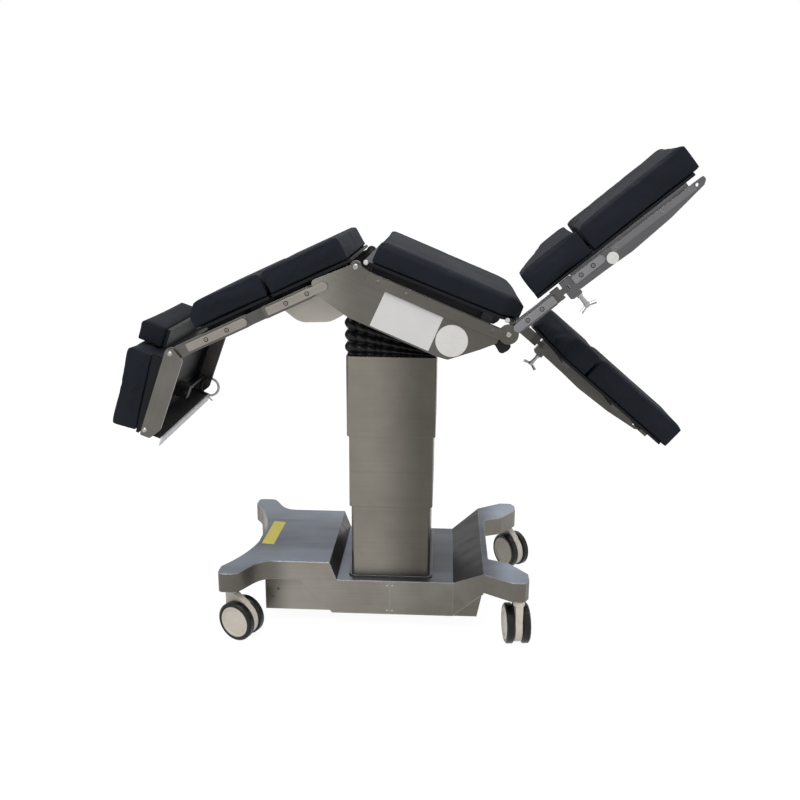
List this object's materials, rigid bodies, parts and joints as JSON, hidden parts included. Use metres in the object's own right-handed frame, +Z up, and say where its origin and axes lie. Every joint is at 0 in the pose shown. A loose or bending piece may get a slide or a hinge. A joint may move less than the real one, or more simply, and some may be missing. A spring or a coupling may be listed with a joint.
{
  "type": "operating table",
  "caption": "Wheeled operating table: telescopic column, tilting seat, hinged back and head sections and two separately jointed leg sections with dark pads",
  "frame": {"origin": "middle of the overall length and width, on the floor", "axes": "+Z up; +X towards the foot end; +Y towards the far side as seen in the picture; the mid plane of the table is Y = 0 and the column axis is at X = -0.052 m"},
  "size_m": [1.7842, 0.7145, 1.5036],
  "materials": {
    "base_steel": "brushed, satin",
    "column_steel": "brushed, satin",
    "frame_steel": "brushed, satin",
    "bar_steel": "fine brushed",
    "pin_steel": "polished",
    "dark_block": "matt black",
    "chassis_paint": "matt",
    "board_laminate": "matt",
    "pad_skin": "soft matt polyurethane skin over foam",
    "bellows_rubber": "semi-matt",
    "cover_plastic": "satin",
    "castor_plastic": "satin",
    "tyre": "matt"
  },
  "bodies": {
    "base": {"base_cover_head_end": "base_steel", "base_cover_foot_end": "base_steel", "cover_screws": "pin_steel", "base_chassis": "chassis_paint", "power_unit": "chassis_paint", "column_foot_trim": "base_steel", "column_lower_sleeve": "column_steel"},
    "column_middle": {"column_middle_sleeve": "column_steel"},
    "column_upper": {"column_upper_sleeve": "column_steel", "tilt_pedestal": "chassis_paint", "bellows": "bellows_rubber"},
    "yoke": {"tilt_yoke": "chassis_paint"},
    "seat": {"seat_cheek_plates": "frame_steel", "side_rails": "bar_steel", "seat_frame": "chassis_paint", "pivot_pins": "pin_steel", "seat_board": "board_laminate", "seat_pad": "pad_skin", "pad_pegs": "cover_plastic"},
    "back": {"lower_back_bars": "bar_steel", "back_frame": "chassis_paint", "back_boards": "board_laminate", "lower_back_pad": "pad_skin", "belly_cover": "cover_plastic", "back_couplings": "dark_block", "upper_back_bars": "bar_steel", "upper_back_pad": "pad_skin"},
    "head": {"head_side_plates": "frame_steel", "head_pins": "pin_steel", "head_base_box": "board_laminate", "head_cross_plate": "frame_steel", "head_pad_main": "pad_skin", "head_pad_tongue": "pad_skin"},
    "leg_near_arm": {"leg_near_arm": "bar_steel", "leg_near_coupling": "dark_block"},
    "leg_near_section": {"leg_near_plate": "frame_steel", "leg_near_board": "board_laminate", "leg_near_pad_short": "pad_skin", "leg_near_pad_long": "pad_skin"},
    "leg_near_knob": {"leg_near_knob": "pin_steel"},
    "leg_far_arm": {"leg_far_arm": "bar_steel", "leg_far_coupling": "dark_block"},
    "leg_far_section": {"leg_far_plate": "frame_steel", "leg_far_board": "board_laminate", "leg_far_pad_short": "pad_skin", "leg_far_pad_long": "pad_skin"},
    "leg_far_knob": {"leg_far_knob": "pin_steel"},
    "castor_head_near_fork": {"castor_head_near_housing": "castor_plastic"},
    "castor_head_near_wheels": {"castor_head_near_tyres": "tyre", "castor_head_near_discs": "castor_plastic"},
    "castor_head_far_fork": {"castor_head_far_housing": "castor_plastic"},
    "castor_head_far_wheels": {"castor_head_far_tyres": "tyre", "castor_head_far_discs": "castor_plastic"},
    "castor_foot_near_fork": {"castor_foot_near_housing": "castor_plastic"},
    "castor_foot_near_wheels": {"castor_foot_near_tyres": "tyre", "castor_foot_near_discs": "castor_plastic"},
    "castor_foot_far_fork": {"castor_foot_far_housing": "castor_plastic"},
    "castor_foot_far_wheels": {"castor_foot_far_tyres": "tyre", "castor_foot_far_discs": "castor_plastic"}
  },
  "joints": [
    {"name": "lift_middle", "type": "slide", "parent": "base", "child": "column_middle", "axis": [0, 0, 1], "range_m": [-0.22, 0.004]},
    {"name": "lift_upper", "type": "slide", "parent": "column_middle", "child": "column_upper", "axis": [0, 0, 1], "range_m": [-0.22, 0.004]},
    {"name": "trendelenburg", "type": "hinge", "parent": "column_upper", "child": "yoke", "pos_m": [-0.0518, 0, 1], "axis": [0, 1, 0], "range_deg": [-35, 3.5], "deforming": ["bellows"]},
    {"name": "side_tilt", "type": "hinge", "parent": "yoke", "child": "seat", "pos_m": [-0.03861, 0, 1.0335], "axis": [0.9304, 0, -0.3665], "range_deg": [-18, 18], "deforming": ["bellows"]},
    {"name": "back_hinge", "type": "hinge", "parent": "seat", "child": "back", "pos_m": [-0.14841, 0, 1.16121], "axis": [0, -1, 0], "range_deg": [-69.5, 2]},
    {"name": "head_hinge", "type": "hinge", "parent": "back", "child": "head", "pos_m": [-0.69786, 0, 0.90079], "axis": [0, -1, 0], "range_deg": [-62, 12]},
    {"name": "knee_near", "type": "hinge", "parent": "seat", "child": "leg_near_arm", "pos_m": [0.2912, -0.275, 0.973], "axis": [0, 1, 0], "range_deg": [-8, 147]},
    {"name": "splay_near", "type": "hinge", "parent": "leg_near_arm", "child": "leg_near_section", "pos_m": [0.45077, -0.281, 1.10642], "axis": [0.6414, 0, -0.7672], "range_deg": [0, 60]},
    {"name": "clamp_screw_near", "type": "hinge", "parent": "leg_near_section", "child": "leg_near_knob", "pos_m": [0.4887, -0.281, 1.086], "axis": [-0.6414, 0, 0.7672], "continuous": true},
    {"name": "knee_far", "type": "hinge", "parent": "seat", "child": "leg_far_arm", "pos_m": [0.2912, 0.275, 0.973], "axis": [0, 1, 0], "range_deg": [-88, 67]},
    {"name": "splay_far", "type": "hinge", "parent": "leg_far_arm", "child": "leg_far_section", "pos_m": [0.44983, 0.281, 0.83847], "axis": [0.6468, 0, 0.7627], "range_deg": [0, 60]},
    {"name": "clamp_screw_far", "type": "hinge", "parent": "leg_far_section", "child": "leg_far_knob", "pos_m": [0.43617, 0.281, 0.79761], "axis": [0.6468, 0, 0.7627], "continuous": true},
    {"name": "swivel_head_near", "type": "hinge", "parent": "base", "child": "castor_head_near_fork", "pos_m": [-0.5448, -0.285, 0.15], "axis": [0, 0, 1], "continuous": true},
    {"name": "roll_head_near", "type": "hinge", "parent": "castor_head_near_fork", "child": "castor_head_near_wheels", "pos_m": [-0.51399, -0.29937, 0.0625], "axis": [0.4226, 0.9063, 0], "continuous": true},
    {"name": "swivel_head_far", "type": "hinge", "parent": "base", "child": "castor_head_far_fork", "pos_m": [-0.5448, 0.285, 0.15], "axis": [0, 0, 1], "continuous": true},
    {"name": "roll_head_far", "type": "hinge", "parent": "castor_head_far_fork", "child": "castor_head_far_wheels", "pos_m": [-0.5108, 0.285, 0.0625], "axis": [0, 1, 0], "continuous": true},
    {"name": "swivel_foot_near", "type": "hinge", "parent": "base", "child": "castor_foot_near_fork", "pos_m": [0.3502, -0.315, 0.15], "axis": [0, 0, 1], "continuous": true},
    {"name": "roll_foot_near", "type": "hinge", "parent": "castor_foot_near_fork", "child": "castor_foot_near_wheels", "pos_m": [0.34665, -0.28119, 0.0625], "axis": [-0.9945, -0.1045, 0], "continuous": true},
    {"name": "swivel_foot_far", "type": "hinge", "parent": "base", "child": "castor_foot_far_fork", "pos_m": [0.3502, 0.315, 0.15], "axis": [0, 0, 1], "continuous": true},
    {"name": "roll_foot_far", "type": "hinge", "parent": "castor_foot_far_fork", "child": "castor_foot_far_wheels", "pos_m": [0.3697, 0.28715, 0.0625], "axis": [0.8192, 0.5736, 0], "continuous": true}
  ],
  "couplings": [
    {"joint": "lift_upper", "follows": "lift_middle", "ratio": 1}
  ]
}
